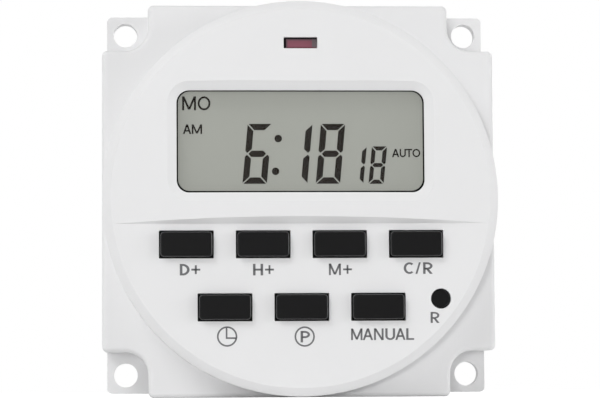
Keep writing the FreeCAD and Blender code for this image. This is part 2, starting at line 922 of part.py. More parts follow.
def all_pieces():
    pieces = {"front_cover": front_cover(), "base_housing": base_housing()}
    display_pieces(pieces)
    key_pieces(pieces)
    power_pieces(pieces)
    return pieces


os.makedirs("parts", exist_ok=True)
for name, piece in all_pieces().items():
    shape = Part.makeCompound(piece) if isinstance(piece, list) else piece
    if len(shape.Solids) == 1:
        shape = shape.Solids[0]
    shape.exportStep("parts/" + name + ".step")
    print(name, "solids", len(shape.Solids), "volume", round(shape.Volume, 2))
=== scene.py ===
import json
import math
import bmesh
import bpy
import numpy as np
from mathutils import Matrix, Vector


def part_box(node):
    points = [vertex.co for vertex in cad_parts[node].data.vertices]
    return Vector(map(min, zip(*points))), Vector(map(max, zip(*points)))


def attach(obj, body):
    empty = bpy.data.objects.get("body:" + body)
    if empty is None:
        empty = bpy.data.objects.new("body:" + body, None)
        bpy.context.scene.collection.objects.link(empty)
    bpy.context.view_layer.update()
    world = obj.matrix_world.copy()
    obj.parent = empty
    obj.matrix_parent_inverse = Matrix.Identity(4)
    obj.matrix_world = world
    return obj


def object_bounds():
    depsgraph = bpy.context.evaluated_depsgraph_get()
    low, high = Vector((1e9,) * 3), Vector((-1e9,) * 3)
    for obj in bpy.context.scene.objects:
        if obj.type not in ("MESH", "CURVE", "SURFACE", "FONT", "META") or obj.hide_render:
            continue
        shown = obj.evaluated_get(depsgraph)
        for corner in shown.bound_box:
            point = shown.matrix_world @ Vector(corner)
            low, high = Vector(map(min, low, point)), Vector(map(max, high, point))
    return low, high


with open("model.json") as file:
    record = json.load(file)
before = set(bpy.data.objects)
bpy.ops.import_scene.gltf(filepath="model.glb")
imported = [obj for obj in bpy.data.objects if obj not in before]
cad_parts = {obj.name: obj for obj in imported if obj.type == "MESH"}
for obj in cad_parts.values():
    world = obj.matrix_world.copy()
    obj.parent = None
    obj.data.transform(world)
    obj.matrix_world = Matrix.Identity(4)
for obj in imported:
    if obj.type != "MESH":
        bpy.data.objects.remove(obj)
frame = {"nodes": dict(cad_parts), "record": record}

mm = 0.001               # the values below are in millimetres, the scene is in metres
white = (1.0, 1.0, 1.0, 1.0)
cadBox = [list(corner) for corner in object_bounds()]
print("frame loaded:", len(frame["nodes"]), "nodes")


def boxOf(node):
    low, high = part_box(node)
    return np.array(low) / mm, np.array(high) / mm


# Shader arithmetic and materials

class Wire:
    # one output of a node; plain arithmetic on it adds Math nodes
    def __init__(self, recipe, socket):
        self.recipe = recipe
        self.socket = socket

    def math(self, operation, first, second=0.0):
        return self.recipe.add("ShaderNodeMath", {"operation": operation}, {0: first, 1: second})

    def __add__(self, other):
        return self.math("ADD", self, other)

    def __radd__(self, other):
        return self.math("ADD", other, self)

    def __sub__(self, other):
        return self.math("SUBTRACT", self, other)

    def __rsub__(self, other):
        return self.math("SUBTRACT", other, self)

    def __mul__(self, other):
        return self.math("MULTIPLY", self, other)

    def __rmul__(self, other):
        return self.math("MULTIPLY", other, self)

    def __truediv__(self, other):
        return self.math("DIVIDE", self, other)

    def __rtruediv__(self, other):
        return self.math("DIVIDE", other, self)

    def __gt__(self, other):
        return self.math("GREATER_THAN", self, other)

    def __lt__(self, other):
        return self.math("LESS_THAN", self, other)

    def __abs__(self):
        return self.math("ABSOLUTE", self)

    def orMore(self, other):
        return self.math("MAXIMUM", self, other)


class Recipe:
    # the nodes of one material, or of the world; add makes every node from its type, its
    # settings and its sockets
    def __init__(self, owner):
        self.owner = owner
        owner.use_nodes = True
        self.tree = owner.node_tree
        self.tree.nodes.clear()

    def add(self, kind, settings=None, sockets=None, output=0):
        node = self.tree.nodes.new(kind)
        for name, value in (settings or {}).items():
            setattr(node, name, value)
        for name, value in (sockets or {}).items():
            if isinstance(value, Wire):
                self.tree.links.new(value.socket, node.inputs[name])
            else:
                node.inputs[name].default_value = value
        if isinstance(output, tuple):
            return [Wire(self, node.outputs[each]) for each in output]
        return Wire(self, node.outputs[output]) if node.outputs else None

    def place(self):
        return self.add("ShaderNodeTexCoord", output="Object")

    def axes(self, where):
        return self.add("ShaderNodeSeparateXYZ", None, {0: where}, (0, 1, 2))

    def stretched(self, where, scale):
        return self.add("ShaderNodeMapping", {"vector_type": "POINT"},
                        {"Vector": where, "Scale": scale})

    def noise(self, where, size, detail=2.0):
        # size is the width of one blotch in millimetres
        return self.add("ShaderNodeTexNoise", {"noise_dimensions": "3D"},
                        {"Vector": where, "Scale": 1 / (size * mm), "Detail": detail})

    def held(self, value):
        # kept between 0 and 1
        return self.add("ShaderNodeClamp", None, {0: value})

    def colour(self, amount, first, second):
        # sockets 6 and 7 of a Mix node are its two colours, and output 2 is their mix
        pair = [value if isinstance(value, Wire) else (*value, 1.0) for value in (first, second)]
        return self.add("ShaderNodeMix", {"data_type": "RGBA"}, {0: amount, 6: pair[0], 7: pair[1]},
                        output=2)

    def mottled(self, pattern, colour, low, high=1.0):
        # one colour that wanders between two shares of itself
        return self.colour(pattern, shade(colour, low), shade(colour, high))

    def bump(self, height, depth):
        # depth is in millimetres
        return self.add("ShaderNodeBump", None, {"Distance": depth * mm, "Height": height})

    def showThrough(self):
        # 1 for what the camera sees straight, in a mirror or through a pane, and 0 for plain light
        rays = self.add("ShaderNodeLightPath", output=("Is Camera Ray", "Is Glossy Ray",
                                                       "Is Transmission Ray"))
        return self.held(rays[0] + rays[1] + rays[2])

    def finished(self, shader):
        ending = "World" if isinstance(self.owner, bpy.types.World) else "Material"
        self.add("ShaderNodeOutput" + ending, None, {"Surface": shader})
        return self.owner

    def surface(self, sockets):
        return self.finished(self.add("ShaderNodeBsdfPrincipled", None, sockets))


def newRecipe(name):
    return Recipe(bpy.data.materials.new(name))


def shade(colour, amount):
    return tuple(min(1.0, part * amount) for part in colour)


def uneven(level, pattern, swing):
    # a level that a pattern about 0.5 moves up and down by half the swing
    return level + (pattern - 0.5) * swing


# Finishes. The values that end in Rough move the roughness, the depths are those of the bumps,
# and darkest and lightest are shares of the colour. A finish's own look goes before the values
# of its kind.

mouldedKind = {
    "grainSize": 0.12, "grainDepth": 0.003, "grainRough": 0.08,      # spark-eroded grain
    "cloudSize": 9.0, "cloudRough": 0.06, "waviness": 0.6,           # slow flow marks
    "darkest": 0.985, "lightest": 1.015, "gloss": 0.5,
}


def moulded(name, look):
    # injection-moulded plastic: a fine spark-eroded grain, faint cloudiness and uneven gloss
    look = {**mouldedKind, **look}
    recipe = newRecipe(name)
    where = recipe.place()
    cloud = recipe.noise(where, look["cloudSize"])
    speck = recipe.noise(where, look["grainSize"], detail=1.0)
    grained = uneven(look["roughness"], speck, look["grainRough"])
    return recipe.surface({
        "Base Color": recipe.mottled(cloud, look["colour"], look["darkest"], look["lightest"]),
        "Roughness": uneven(grained, cloud, look["cloudRough"]),
        "Specular IOR Level": look["gloss"],
        "Normal": recipe.bump(speck + cloud * look["waviness"], look["grainDepth"]),
    })


platedKind = {
    "scratchSize": 0.06, "scratchDepth": 0.002, "scratchRough": 0.16,
    "smudgeSize": 2.5, "smudgeRough": 0.12, "darkest": 0.88,
}


def plated(name, look):
    # rolled or turned metal: long scratches along one axis and a few dull smudges
    look = {**platedKind, **look}
    recipe = newRecipe(name)
    where = recipe.place()
    scratch = recipe.noise(recipe.stretched(where, look["along"]), look["scratchSize"], detail=3.0)
    smudge = recipe.noise(where, look["smudgeSize"], detail=3.0)
    scratched = uneven(look["roughness"], scratch, look["scratchRough"])
    return recipe.surface({
        "Base Color": recipe.mottled(smudge, look["colour"], look["darkest"]),
        "Metallic": 1.0,
        "Roughness": uneven(scratched, smudge, look["smudgeRough"]),
        "Normal": recipe.bump(scratch, look["scratchDepth"]),
    })


lacqueredKind = {
    "cloudSize": 3.0, "cloudRough": 0.1, "darkest": 0.8, "weaveDepth": 0.004,
    "weaveShare": 0.25, "cloudShare": 0.5,       # of the change in colour
}


def lacquered(name, look):
    # circuit board: woven glass under a clear lacquer, with the sheen slightly uneven
    look = {**lacqueredKind, **look}
    recipe = newRecipe(name)
    where = recipe.place()
    weave = recipe.add("ShaderNodeTexChecker", None,
                       {"Vector": where, "Scale": 1 / (look["strand"] * mm)}, output="Fac")
    cloud = recipe.noise(where, look["cloudSize"], detail=3.0)
    stain = weave * look["weaveShare"] + cloud * look["cloudShare"]
    return recipe.surface({
        "Base Color": recipe.mottled(stain, look["colour"], look["darkest"]),
        "Roughness": look["roughness"] + cloud * look["cloudRough"],
        "Normal": recipe.bump(weave + cloud, look["weaveDepth"]),
    })


bandedKind = {"cloudSize": 0.8, "cloudDepth": 0.01, "cloudRough": 0.1, "darkest": 0.9}


def banded(name, look):
    # small part with painted bands: each band is a start, an end (mm along one axis) and a colour
    look = {**bandedKind, **look}
    recipe = newRecipe(name)
    where = recipe.place()
    along = recipe.axes(where)[look["axis"]]
    cloud = recipe.noise(where, look["cloudSize"])
    tint = recipe.mottled(cloud, look["colour"], look["darkest"])
    for start, end, colour in look["bands"]:
        inside = (along > start * mm) * (along < end * mm)
        tint = recipe.colour(inside, tint, colour)
    return recipe.surface({
        "Base Color": tint,
        "Roughness": uneven(look["roughness"], cloud, look["cloudRough"]),
        "Normal": recipe.bump(cloud, look["cloudDepth"]),
    })


clearKind = {"hazeSize": 5.0, "hazeDepth": 0.002}


def clear(name, look):
    # clear pane: mostly straight through, with a reflection that grows towards grazing angles
    look = {**clearKind, **look}
    recipe = newRecipe(name)
    haze = recipe.noise(recipe.place(), look["hazeSize"])
    through = recipe.add("ShaderNodeBsdfTransparent", None, {"Color": (*look["tint"], 1.0)})
    shine = recipe.add("ShaderNodeBsdfGlossy", None, {
        "Color": white, "Roughness": look["roughness"],
        "Normal": recipe.bump(haze, look["hazeDepth"])})
    facing = recipe.add("ShaderNodeFresnel", None, {"IOR": look["index"]})
    amount = uneven(facing * look["shine"], haze, look["haze"])
    return recipe.finished(recipe.add("ShaderNodeMixShader", None,
                                      {0: amount, 1: through, 2: shine}))


keyLook = {
    "colour": (0.0084, 0.0084, 0.0087), "roughness": 0.45, "gloss": 0.055,
    "grainSize": 0.08, "grainDepth": 0.002, "grainRough": 0.08,
    "cloudSize": 2.5, "darkest": 0.95, "lightest": 1.05,
    "edgeStart": 0.03, "edgeRamp": 0.05, "edgeEnd": 0.3,     # the rounded edge, behind the front
    "edge": 1.0, "edgeRoughness": 0.22,                      # weight and roughness of its gloss
    # the foot's colour is painted shade, darker than the key itself
    "foot": (0.0025, 0.0025, 0.0026),
}


def keyCap(name, look, node="day_key"):
    # matt spark-eroded front; the rounded edge just behind the front plane came smoother from the
    # mould, and the foot in the opening is painted nearly black as shade, and dull
    recipe = newRecipe(name)
    where = recipe.place()
    front = boxOf(node)[0][1]
    behind = recipe.axes(where)[1] - front * mm
    rising = recipe.held((behind - look["edgeStart"] * mm) / (look["edgeRamp"] * mm))
    rounded = rising * (behind < look["edgeEnd"] * mm)
    cloud = recipe.noise(where, look["cloudSize"])
    speck = recipe.noise(where, look["grainSize"], detail=1.0)
    tint = recipe.mottled(cloud, look["colour"], look["darkest"], look["lightest"])
    return recipe.surface({
        # behind the rounded edge the foot takes the painted shade colour
        "Base Color": recipe.colour(behind > look["edgeEnd"] * mm, tint, look["foot"]),
        "Roughness": uneven(look["roughness"], speck, look["grainRough"]),
        "Specular IOR Level": look["gloss"],
        "Coat Weight": rounded * look["edge"],
        "Coat Roughness": look["edgeRoughness"],
        "Normal": recipe.bump(speck, look["grainDepth"]),
    })


filmKind = {
    "brushing": (8.0, 8.0, 0.4), "brushSize": 0.5, "brushDepth": 0.001, "brushRough": 0.1,
    "cloudSize": 14.0, "cloudShare": 0.6, "brushShare": 0.4,         # of the change in colour
    "darkest": 0.97, "lightest": 1.03, "gloss": 0.05, "paintedGlow": 0.0,
}
# the display's glow is painted light: it flattens the shade that the bezel casts on it
displayLook = {"colour": (0.201, 0.203, 0.190), "roughness": 0.5, "paintedGlow": 1.0}


def displayFilm(name, look):
    # polariser over the reflector: a silky grey with a very fine vertical brushing, and a painted
    # glow of its own colour that evens out the shade on it
    look = {**filmKind, **look}
    recipe = newRecipe(name)
    where = recipe.place()
    brushed = recipe.noise(recipe.stretched(where, look["brushing"]), look["brushSize"], detail=3.0)
    cloud = recipe.noise(where, look["cloudSize"])
    silk = cloud * look["cloudShare"] + brushed * look["brushShare"]
    return recipe.surface({
        "Base Color": recipe.mottled(silk, look["colour"], look["darkest"], look["lightest"]),
        "Roughness": uneven(look["roughness"], brushed, look["brushRough"]),
        "Specular IOR Level": look["gloss"],
        # painted glow in the film's own colour
        "Emission Color": (*look["colour"], 1.0),
        "Emission Strength": look["paintedGlow"],
        "Normal": recipe.bump(brushed, look["brushDepth"]),
    })


lensLook = {
    "width": 5.1, "height": 1.72,                # what the slot shows of the lens
    # the dark colour is a painted shadow, the side colour a painted half-shade, the end colour a
    # painted grey reflection
    "colour": (0.262, 0.096, 0.128), "paintedShadowColour": (0.002, 0.0, 0.0006), "side": (0.15, 0.095, 0.11),
    "end": (0.155, 0.125, 0.135), "foot": (0.10, 0.02, 0.03),
    "leftPaintedShadow": 0.4, "topPaintedShadow": 0.24,          # width of the painted shadow at two edges
    # widths of the painted half-shade at the left and top, of the painted reflection at the right
    # end, and of the foot
    "leftHalfShadeWidth": 0.62, "topHalfShadeWidth": 0.44, "endReflectionWidth": 0.78, "footWidth": 0.24, "blur": 0.1,
    "flow": (0.4, 1.0, 1.6), "flowSize": 1.2, "flowDepth": 0.02, "flowRough": 0.1,
    "darkest": 0.85, "lightest": 1.12, "roughness": 0.3, "gloss": 0.04,
}


def signalLens(name, look):
    # red lens: bands measured from its edges: painted shadow of the slot at the left and top,
    # painted greyish half-shade beside it, a painted grey reflection at the right end, and deep red
    # along the foot
    recipe = newRecipe(name)
    where = recipe.place()
    across, up = recipe.axes(where)[::2]
    low, high = boxOf("indicator_lens")
    middle = (low + high) / 2
    halfWide, halfHigh = look["width"] / 2, look["height"] / 2

    def band(distance, width):
        # 1 at the edge, 0 past the width, and between them a ramp as long as the blur
        return recipe.held((width - distance / mm) / look["blur"] + 0.5)

    fromLeft = across - (middle[0] - halfWide) * mm
    fromRight = (middle[0] + halfWide) * mm - across
    fromTop = (middle[2] + halfHigh) * mm - up
    fromFoot = up - (middle[2] - halfHigh) * mm
    flow = recipe.noise(recipe.stretched(where, look["flow"]), look["flowSize"])
    tint = recipe.mottled(flow, look["colour"], look["darkest"], look["lightest"])
    # painted half-shade at the left and top, painted grey reflection at the right end
    tint = recipe.colour(band(fromLeft, look["leftHalfShadeWidth"]), tint, look["side"])
    tint = recipe.colour(band(fromTop, look["topHalfShadeWidth"]), tint, look["side"])
    tint = recipe.colour(band(fromRight, look["endReflectionWidth"]), tint, look["end"])
    tint = recipe.colour(band(fromFoot, look["footWidth"]), tint, look["foot"])
    # painted shadow along the left and top edges
    paintedShadow = band(fromLeft, look["leftPaintedShadow"]).orMore(band(fromTop, look["topPaintedShadow"]))
    return recipe.surface({
        "Base Color": recipe.colour(paintedShadow, tint, look["paintedShadowColour"]),
        "Roughness": look["roughness"] + flow * look["flowRough"],
        "Specular IOR Level": look["gloss"],
        "Normal": recipe.bump(flow, look["flowDepth"]),
    })


sleeveLook = {
    "colour": (0.03, 0.03, 0.05), "stripe": (0.62, 0.62, 0.60), "roughness": 0.28, "darkest": 0.8,
    "stripeFrom": 2.2, "stripeWidth": 2.8,       # stripeFrom is from the axis of the can
    "wrinkling": (1.0, 0.3, 1.0), "wrinkleSize": 0.7, "wrinkleDepth": 0.01, "wrinkleRough": 0.1,
}


def canSleeve(name, look):
    # shrunk sleeve with a pale stripe down one side of the can
    recipe = newRecipe(name)
    where = recipe.place()
    low, high = boxOf("electrolytic_capacitor")
    middle = (low + high) / 2 * mm
    across, up = recipe.axes(where)[::2]
    stripe = (across > middle[0] + look["stripeFrom"] * mm) * (
        abs(up - middle[2]) < look["stripeWidth"] / 2 * mm)
    wrinkle = recipe.noise(recipe.stretched(where, look["wrinkling"]), look["wrinkleSize"])
    tint = recipe.mottled(wrinkle, look["colour"], look["darkest"])
    return recipe.surface({
        "Base Color": recipe.colour(stripe, tint, look["stripe"]),
        "Roughness": look["roughness"] + wrinkle * look["wrinkleRough"],
        "Normal": recipe.bump(wrinkle, look["wrinkleDepth"]),
    })


rubberLook = {
    "colour": (0.55, 0.20, 0.20), "carbon": (0.02, 0.02, 0.02), "roughness": 0.7,
    "layer": 0.05, "ripple": 0.3,
    "cloudSize": 0.3, "cloudDepth": 0.01, "cloudRough": 0.1,
}


def contactRubber(name, look):
    # conducting and plain layers of silicone by turns along the strip
    recipe = newRecipe(name)
    where = recipe.place()
    wave = recipe.add("ShaderNodeTexWave", {"wave_type": "BANDS", "bands_direction": "X"},
                      {"Vector": where, "Scale": 1 / (look["layer"] * mm * 2 * math.pi),
                       "Distortion": look["ripple"]}, output="Fac")
    cloud = recipe.noise(where, look["cloudSize"])
    return recipe.surface({
        "Base Color": recipe.colour(wave > 0.5, look["colour"], look["carbon"]),
        "Roughness": look["roughness"] + cloud * look["cloudRough"],
        "Normal": recipe.bump(cloud, look["cloudDepth"]),
    })


shellLook = {"colour": (0.80, 0.80, 0.805), "roughness": 0.5, "grainSize": 0.11,
             "grainDepth": 0.0025, "cloudSize": 11.0, "waviness": 0.8, "gloss": 0.3}
windowLook = {"tint": (0.985, 0.99, 0.98), "roughness": 0.03, "index": 1.49, "shine": 0.25,
              "haze": 0.004}
blackPlastic = {"colour": (0.02, 0.02, 0.021), "roughness": 0.5}
slotFinishes = {
    "white_shell": (moulded, shellLook),
    "black_key": (keyCap, keyLook),
    "clear_window": (clear, windowLook),
    "red_lens": (signalLens, lensLook),
    "red_lamp": (moulded, {"colour": (0.45, 0.03, 0.03), "roughness": 0.25, "grainSize": 0.4}),
    "polariser": (displayFilm, displayLook),
    "display_glass": (clear, {"tint": (0.93, 0.97, 0.94), "roughness": 0.02, "index": 1.52,
                              "shine": 0.8, "haze": 0.002}),
    "reflector": (displayFilm, {"colour": (0.44, 0.45, 0.41), "roughness": 0.35}),
    "holder": (moulded, {"colour": (0.74, 0.74, 0.72), "roughness": 0.5}),
    "contact_rubber": (contactRubber, rubberLook),
    "display_board": (lacquered, {"colour": (0.03, 0.19, 0.08), "roughness": 0.25, "strand": 0.5}),
    "power_board": (lacquered, {"colour": (0.42, 0.28, 0.13), "roughness": 0.35, "strand": 0.8}),
    "chip": (moulded, {"colour": (0.018, 0.018, 0.019), "roughness": 0.6, "grainSize": 0.06}),
    "bright_metal": (plated, {"colour": (0.72, 0.72, 0.71), "roughness": 0.3,
                              "along": (1.0, 1.0, 0.05)}),
    "battery": (plated, {"colour": (0.75, 0.75, 0.76), "roughness": 0.2, "along": (1.0, 0.1, 1.0)}),
    "screw_steel": (plated, {"colour": (0.62, 0.62, 0.63), "roughness": 0.32,
                             "along": (1.0, 0.1, 1.0)}),
    "plated_brass": (plated, {"colour": (0.74, 0.72, 0.66), "roughness": 0.28,
                              "along": (1.0, 0.04, 1.0)}),
    "connector": (moulded, blackPlastic),
    "switch_body": (moulded, blackPlastic),
    "plunger": (moulded, {"colour": (0.035, 0.034, 0.033), "roughness": 0.42}),
    "relay_base": (moulded, blackPlastic),
    "relay_cover": (moulded, {"colour": (0.02, 0.09, 0.36), "roughness": 0.32, "grainSize": 0.3}),
    "film_capacitor": (moulded, {"colour": (0.72, 0.50, 0.04), "roughness": 0.3, "grainSize": 0.5}),
    "can_sleeve": (canSleeve, sleeveLook),
    "diode": (banded, {"colour": (0.02, 0.02, 0.02), "roughness": 0.4, "axis": 2,
                       "bands": [(-7.7, -7.2, (0.65, 0.65, 0.65))]}),
    "zener": (banded, {"colour": (0.50, 0.13, 0.03), "roughness": 0.15, "axis": 2,
                       "bands": [(-7.7, -7.2, (0.02, 0.02, 0.02))]}),
    "resistor": (banded, {"colour": (0.30, 0.48, 0.56), "roughness": 0.4, "axis": 0, "bands": [
        (2.4, 3.0, (0.30, 0.02, 0.02)), (3.7, 4.3, (0.12, 0.03, 0.18)),
        (5.0, 5.6, (0.50, 0.42, 0.02)), (7.4, 8.0, (0.42, 0.25, 0.05))]}),
    "varistor": (moulded, {"colour": (0.02, 0.10, 0.38), "roughness": 0.3, "grainSize": 0.9,
                           "grainDepth": 0.02}),
    "fuse": (moulded, {"colour": (0.05, 0.02, 0.015), "roughness": 0.35}),
}
finishes = {slot: make(slot + "_finish", look) for slot, (make, look) in slotFinishes.items()}
for part in frame["record"]["subparts"]:
    node = frame["nodes"][part["node"]]
    for slot in node.material_slots:
        slot.material = finishes[part["material_slot"]]
resetFinish = keyCap("reset_key_finish", keyLook, "reset_key")       # has a front plane of its own
frame["nodes"]["reset_key"].material_slots[0].material = resetFinish
print("finishes on the CAD pieces:", len(finishes))


# Mesh tools

def makePiece(name, pieces, material):
    # pieces are (points, faces) pairs with points in millimetres in the CAD frame
    points = np.concatenate([part[0] for part in pieces])
    starts = np.cumsum([0] + [len(part[0]) for part in pieces[:-1]])
    faces = [[start + corner for corner in face]
             for start, part in zip(starts, pieces) for face in part[1]]
    mesh = bpy.data.meshes.new(name)
    mesh.from_pydata((points * mm).tolist(), [], faces)
    cleaned = bmesh.new()
    cleaned.from_mesh(mesh)
    bmesh.ops.recalc_face_normals(cleaned, faces=cleaned.faces)
    cleaned.to_mesh(mesh)
    cleaned.free()
    mesh.materials.append(material)
    piece = bpy.data.objects.new(name, mesh)
    bpy.context.scene.collection.objects.link(piece)
    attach(piece, "housing")


def plate(outline, front, back):
    # a flat (x, z) outline stands at two depths, and quads along it close the thin side between
    flat = np.asarray(outline, float)
    count = len(flat)
    points = [np.insert(flat, 1, y, axis=1) for y in (front, back)]
    near = np.arange(count)
    far = near + count
    sides = np.stack([near, np.roll(near, -1), np.roll(far, -1), far], axis=1)
    return np.concatenate(points), [near.tolist(), far[::-1].tolist()] + sides.tolist()


def between(left, right, front, back, closed=True):
    # a flat band filled between two (x, z) edges of as many points, closed at its front, its back
    # and both edges, and at its ends too where it doesn't run round
    rows = [np.insert(edge, 1, y, axis=1)
            for edge, y in ((left, front), (right, front), (right, back), (left, back))]
    index = np.arange(4 * len(left)).reshape(4, -1)
    across = np.roll(index, -1, axis=0)
    quads = np.stack([index, np.roll(index, -1, axis=1), np.roll(across, -1, axis=1), across],
                     axis=-1)
    quads = quads if closed else quads[:, :-1]
    ends = [] if closed else [index[:, 0].tolist(), index[::-1, -1].tolist()]
    return np.concatenate(rows), quads.reshape(-1, 4).tolist() + ends


def ribbon(path, width, front, back, closed=False, level=False):
    # a flat band of one width carried along an (x, z) path: each point moves half the width to
    # both sides, along the mean of its two normals, lengthened so that corners are mitred; a level
    # band is cut along X at its ends, as the slanted strokes of letters are
    path = np.asarray(path, float)
    steps = np.roll(path, -1, axis=0) - path
    steps = steps if closed else steps[:-1]
    ahead = steps / np.linalg.norm(steps, axis=1)[:, None]
    normals = np.stack([-ahead[:, 1], ahead[:, 0]], axis=1)
    if closed:
        before, after = np.roll(normals, 1, axis=0), normals
    else:
        before = np.concatenate([normals[:1], normals])
        after = np.concatenate([normals, normals[-1:]])
    sides = (before + after) / (1 + (before * after).sum(axis=1))[:, None]
    if level:
        sides = np.stack([1 / normals[[0, 0], 0], np.zeros(2)], axis=1)
    return between(path + sides * width / 2, path - sides * width / 2, front, back, closed)


def bow(x, z, across, up, start, end, steps=24):
    # part of an ellipse about (x, z), from one angle to another in degrees: across times the
    # cosine sideways and up times the sine upwards
    angle = np.radians(np.linspace(start, end, steps))
    return np.stack([x + across * np.cos(angle), z + up * np.sin(angle)], axis=1)


def loop(x, z, across, up, steps=64):
    # the whole ellipse, without its last point, which is its first again
    return bow(x, z, across, up, 0, 360, steps + 1)[:-1]


def roundedLoop(x, z, width, height, radius, steps=16):
    # four quarter circles of one radius, each about its own corner centre
    reach, rise = width / 2 - radius, height / 2 - radius
    corners = ((1, 1, 0), (-1, 1, 90), (-1, -1, 180), (1, -1, 270))
    return np.concatenate([
        bow(x + sideX * reach, z + sideZ * rise, radius, radius, start, start + 90, steps)
        for sideX, sideZ, start in corners])


inkKind = {"blotchSize": 0.35, "blotchDepth": 0.002, "blotchRough": 0.1, "darkest": 0.88,
           "lightest": 1.12, "gloss": 0.2}


def ink(name, look):
    # printed or switched-on ink: matt, with the density a little uneven
    look = {**inkKind, **look}
    recipe = newRecipe(name)
    dense = recipe.noise(recipe.place(), look["blotchSize"])
    return recipe.surface({
        "Base Color": recipe.mottled(dense, look["colour"], look["darkest"], look["lightest"]),
        "Roughness": uneven(look["roughness"], dense, look["blotchRough"]),
        "Specular IOR Level": look["gloss"],
        "Normal": recipe.bump(dense, look["blotchDepth"]),
    })


# Display: digits and a painted shade line round the window

displayInk = {
    "gap": 0.02, "thickness": 0.02,      # in front of the film
    "colour": (0.0145, 0.0105, 0.008), "roughness": 0.5, "gloss": 0.02,
}
digits = {
    "barGap": 0.18,
    # in widths of a bar: the lower corners of an upper side bar, inner, point and outer, as x
    # and as height above the middle, and how far the tips of the middle bar stay from the sides
    "sideCorners": [(1.0, 0.76), (0.32, 0.14), (0.0, 0.48)], "middleTip": 0.54,
    "big": {"size": (3.7, 9.1), "bar": 0.96, "slant": 0.092, "foot": 2.22,
            "places": [("6", -8.77), ("1", -2.645), ("8", 2.33)]},
    "small": {"size": (2.31, 5.69), "bar": 0.62, "slant": 0.1, "foot": 2.2,
              "places": [("1", 7.245), ("8", 10.34)]},
    "colon": [(-3.32, 9.09), (-3.74, 4.11)], "dotRadius": 0.57, "dotSteps": 32,
}
litBars = {"1": "bc", "6": "acdefg", "8": "abcdefg"}


def digitBars(character, width, height, bar):
    # seven bars in a box from (0, 0) to (width, height), mitred at the corners; the side bars
    # end in points beside the six-sided middle bar, and the lower half mirrors the upper
    middle, tip = height / 2, digits["middleTip"] * bar
    mitre = digits["barGap"] * math.sqrt(0.5)
    upright = [(0, height - mitre), (bar, height - bar - mitre)] + [
        (x * bar, middle + z * bar) for x, z in digits["sideCorners"]]
    level = [(mitre, height), (width - mitre, height), (width - bar - mitre, height - bar),
             (bar + mitre, height - bar)]
    across = [(tip, middle), (bar, middle + bar / 2), (width - bar, middle + bar / 2),
              (width - tip, middle), (width - bar, middle - bar / 2), (bar, middle - bar / 2)]
    shapes = {
        "a": level, "g": across, "f": upright,
        "d": [(x, height - z) for x, z in level],
        "e": [(x, height - z) for x, z in upright],
        "b": [(width - x, z) for x, z in upright],
        "c": [(width - x, height - z) for x, z in upright],
    }
    return [np.array(shapes[letter]) for letter in litBars[character]]


displayInkFinish = ink("display_ink", displayInk)
filmFront = boxOf("display_polariser")[0][1]
inkBack = filmFront - displayInk["gap"]
inkFront = inkBack - displayInk["thickness"]
outlines = []
for row in (digits["big"], digits["small"]):
    for character, x in row["places"]:
        for bar in digitBars(character, *row["size"], row["bar"]):
            lean = bar[:, 1] * row["slant"]      # sideways, by the height above the foot
            outlines.append(bar + np.stack([x + lean, np.full(len(bar), row["foot"])], axis=1))
for x, z in digits["colon"]:
    outlines.append(loop(x, z, digits["dotRadius"], digits["dotRadius"], digits["dotSteps"]))
makePiece("display_digits", [plate(outline, inkFront, inkBack) for outline in outlines],
          displayInkFinish)

# a near-black line painted round the window's opening as the shade in the gap between window and
# bezel
windowGapShade = {
    "overlap": 1.0,              # of the pane behind the bezel, at each side
    "width": 0.22, "thickness": 0.03,
    "lift": 0.07,                # of the inner edge, so that the line is thicker at the foot
    "radius": 1.9, "innerRadius": 1.8,
    "colour": (0.004, 0.004, 0.004), "roughness": 0.5, "gloss": 0.05,
}
low, high = boxOf("display_window")
middle = (low + high) / 2
opening = high - low - 2 * windowGapShade["overlap"]
inner = opening - 2 * windowGapShade["width"]
outerEdge = roundedLoop(middle[0], middle[2], opening[0], opening[2], windowGapShade["radius"])
innerEdge = roundedLoop(middle[0], middle[2] + windowGapShade["lift"], inner[0], inner[2],
                        windowGapShade["innerRadius"])
gapShadeBand = between(outerEdge, innerEdge, low[1] - windowGapShade["thickness"], low[1])
# the painted shade line round the window
makePiece("window_gap_shade", [gapShadeBand], ink("window_gap_shade_ink", windowGapShade))
print("display made")


# Lettering: every letter is drawn from strokes in a box from (0, 0) to its width and height

letterForms = {              # shares of the width or the height, unless a note says otherwise
    "waist": 0.455, "bowlStart": 0.42,           # P and R: foot of the bowl, start of its curve
    "legStart": 0.42, "legRun": 0.5,             # R: its slanted leg
    "barA": 0.33, "valleyM": 0.06, "curveD": 0.3, "curveU": 0.36,
    # C: part of an ellipse between two angles, whose size and place follow from the width and
    # from half the stroke
    "widthC": 1.62, "shiftC": 0.4, "narrowC": 0.6, "anglesC": (48, 312),
    # letters with a spread or a weight of stroke of their own
    "spread": {"+": 1.0, "/": 1.0, "M": 1.05, "N": 1.1, "A": 1.1},
    "weight": {"+": 0.95, "/": 0.95},
}


